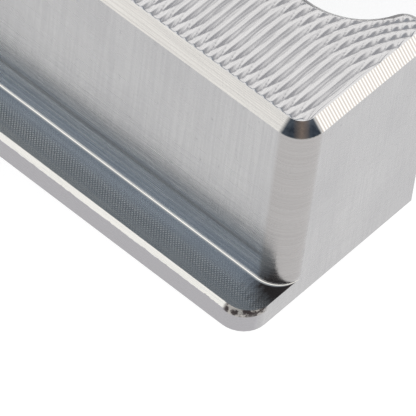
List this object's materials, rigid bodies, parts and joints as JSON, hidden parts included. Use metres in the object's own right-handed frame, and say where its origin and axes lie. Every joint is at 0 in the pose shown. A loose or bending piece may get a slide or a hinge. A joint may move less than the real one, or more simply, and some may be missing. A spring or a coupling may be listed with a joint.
{
  "type": "felling wedge",
  "caption": "Mechanical felling wedge: a drive screw pulls a spreader forward between two nose-hinged aluminium jaws and lifts the rear of the fork-shaped upper jaw.",
  "frame": {"origin": "centre of the overall box on the plane of the sole", "axes": "+X from the butt to the nose along the drive screw, +Y to the left seen from the butt, +Z from the sole to the top"},
  "size_m": [0.3, 0.1234, 0.051],
  "materials": {
    "milled_aluminium": "fly-cut top with crossed arcs, finely milled sides",
    "lower_aluminium": "fine milled",
    "hardened_steel": "ground",
    "spindle_steel": "turned",
    "bearing_steel": "polished",
    "bronze": "machined bronze",
    "black_oxide": "black oxide",
    "seal_rubber": "matt"
  },
  "bodies": {
    "lower_body": {"bearing_block": "hardened_steel", "block_screw_1": "black_oxide", "block_screw_2": "black_oxide", "block_screw_3": "black_oxide", "block_screw_4": "black_oxide", "front_block": "hardened_steel", "front_block_screw_1": "black_oxide", "front_block_screw_2": "black_oxide", "front_bush": "bronze", "grease_nipple": "bronze", "hinge_pin": "spindle_steel", "hinge_plug_left": "black_oxide", "hinge_plug_right": "black_oxide", "keeper_left": "black_oxide", "keeper_left_screw_1": "black_oxide", "keeper_left_screw_2": "black_oxide", "keeper_right": "black_oxide", "keeper_right_screw_1": "black_oxide", "keeper_right_screw_2": "black_oxide", "lock_ring": "hardened_steel", "lower_jaw": "lower_aluminium", "slide_strip_left": "bronze", "slide_strip_left_screw_1": "black_oxide", "slide_strip_left_screw_2": "black_oxide", "slide_strip_right": "bronze", "slide_strip_right_screw_1": "black_oxide", "slide_strip_right_screw_2": "black_oxide", "thrust_race_rear": "bearing_steel", "wiper_seal": "seal_rubber"},
    "spreader_body": {"spreader": "hardened_steel", "spindle_nut": "bronze", "nut_cover": "black_oxide", "nut_cover_screw_1": "black_oxide", "nut_cover_screw_2": "black_oxide", "nut_cover_screw_3": "black_oxide", "nut_cover_screw_4": "black_oxide"},
    "upper_body": {"upper_jaw": "milled_aluminium"},
    "spindle_body": {"spindle": "spindle_steel", "thrust_race_front": "bearing_steel"},
    "cage_body": {"ball_cage": "bearing_steel"}
  },
  "joints": [
    {"name": "spreader_slide", "type": "slide", "parent": "lower_body", "child": "spreader_body", "axis": [1, 0, 0], "range_m": [0, 0.08]},
    {"name": "jaw_hinge", "type": "hinge", "parent": "lower_body", "child": "upper_body", "pos_m": [0.145, 0, 0.005], "axis": [0, 1, 0], "range_deg": [0, 6]},
    {"name": "spindle_spin", "type": "hinge", "parent": "lower_body", "child": "spindle_body", "pos_m": [-0.05, 0, 0.016], "axis": [1, 0, 0], "range_deg": [0, 9600]},
    {"name": "cage_spin", "type": "hinge", "parent": "lower_body", "child": "cage_body", "pos_m": [-0.0704, 0, 0.016], "axis": [1, 0, 0], "range_deg": [0, 4800]}
  ],
  "couplings": [
    {"joint": "jaw_hinge", "follows": "spreader_slide", "rad_per_m": 1.3089},
    {"joint": "spindle_spin", "follows": "spreader_slide", "rad_per_m": 2094.4},
    {"joint": "cage_spin", "follows": "spreader_slide", "rad_per_m": 1047.2}
  ]
}
